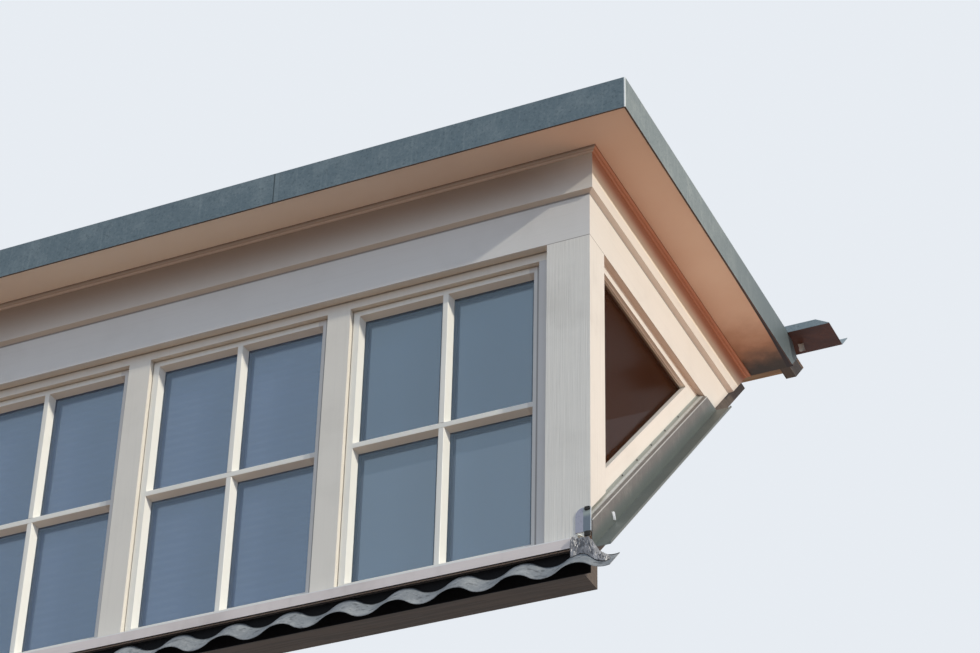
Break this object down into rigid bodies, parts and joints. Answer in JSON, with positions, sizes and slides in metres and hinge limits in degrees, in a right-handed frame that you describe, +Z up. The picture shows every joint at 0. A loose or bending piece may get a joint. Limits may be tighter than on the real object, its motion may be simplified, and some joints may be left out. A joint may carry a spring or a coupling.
{
  "type": "flat-roofed dormer window",
  "caption": "Timber dormer window with a flat zinc-edged roof, a row of tall glazed sashes, triangular side lights, cornice and lead apron.",
  "frame": {"origin": "middle of the underside of the sole plate, halfway through the thickness of the front wall", "axes": "+X along the front, to the right as seen from outside; +Y into the main roof; +Z up"},
  "size_m": [4.786, 2.1203, 2.0946],
  "materials": {
    "timber_frame": "planed softwood, matt",
    "painted_timber": "cream white paint, satin, weathered",
    "painted_sash": "white gloss paint",
    "painted_board": "cream white paint on boards, satin",
    "soffit_paint": "warm beige paint, matt",
    "glass_unit": "clear sealed unit, polished",
    "zinc": "weathered zinc sheet, dull and mottled",
    "lead": "dull lead sheet",
    "blind_fabric": "pleated blind, matt"
  },
  "bodies": {
    "root": {"back_gutter": "zinc", "blinds": "blind_fabric", "ceiling_lining": "painted_board", "cheek_cover_boards": "painted_board", "cheek_frames": "painted_timber", "cheek_glass": "glass_unit", "cheek_head_beams": "timber_frame", "cheek_plates": "timber_frame", "corner_boards_front": "painted_board", "corner_boards_side": "painted_board", "corner_flashings": "zinc", "corner_studs": "timber_frame", "cornice_front": "painted_board", "cornices_side": "painted_board", "edge_board_front": "timber_frame", "edge_boards_side": "timber_frame", "fascia_front": "zinc", "fascias_side": "zinc", "frame_head": "painted_timber", "frame_jambs": "painted_timber", "frieze_board_front": "painted_board", "frieze_boards_side": "painted_board", "front_lintel": "timber_frame", "front_sill": "painted_timber", "front_wall_plate": "timber_frame", "header_board_front": "painted_board", "header_boards_side": "painted_board", "lead_apron": "lead", "mullion_posts": "painted_timber", "roof_covering": "zinc", "roof_deck": "timber_frame", "roof_joists": "timber_frame", "side_flashings": "zinc", "soffit_front": "soffit_paint", "soffits_side": "soffit_paint", "sole_plate": "timber_frame", "window_glass_1": "glass_unit", "window_glass_2": "glass_unit", "window_glass_3": "glass_unit", "window_glass_4": "glass_unit", "window_sash_1": "painted_sash", "window_sash_2": "painted_sash", "window_sash_3": "painted_sash", "window_sash_4": "painted_sash"}
  },
  "joints": []
}
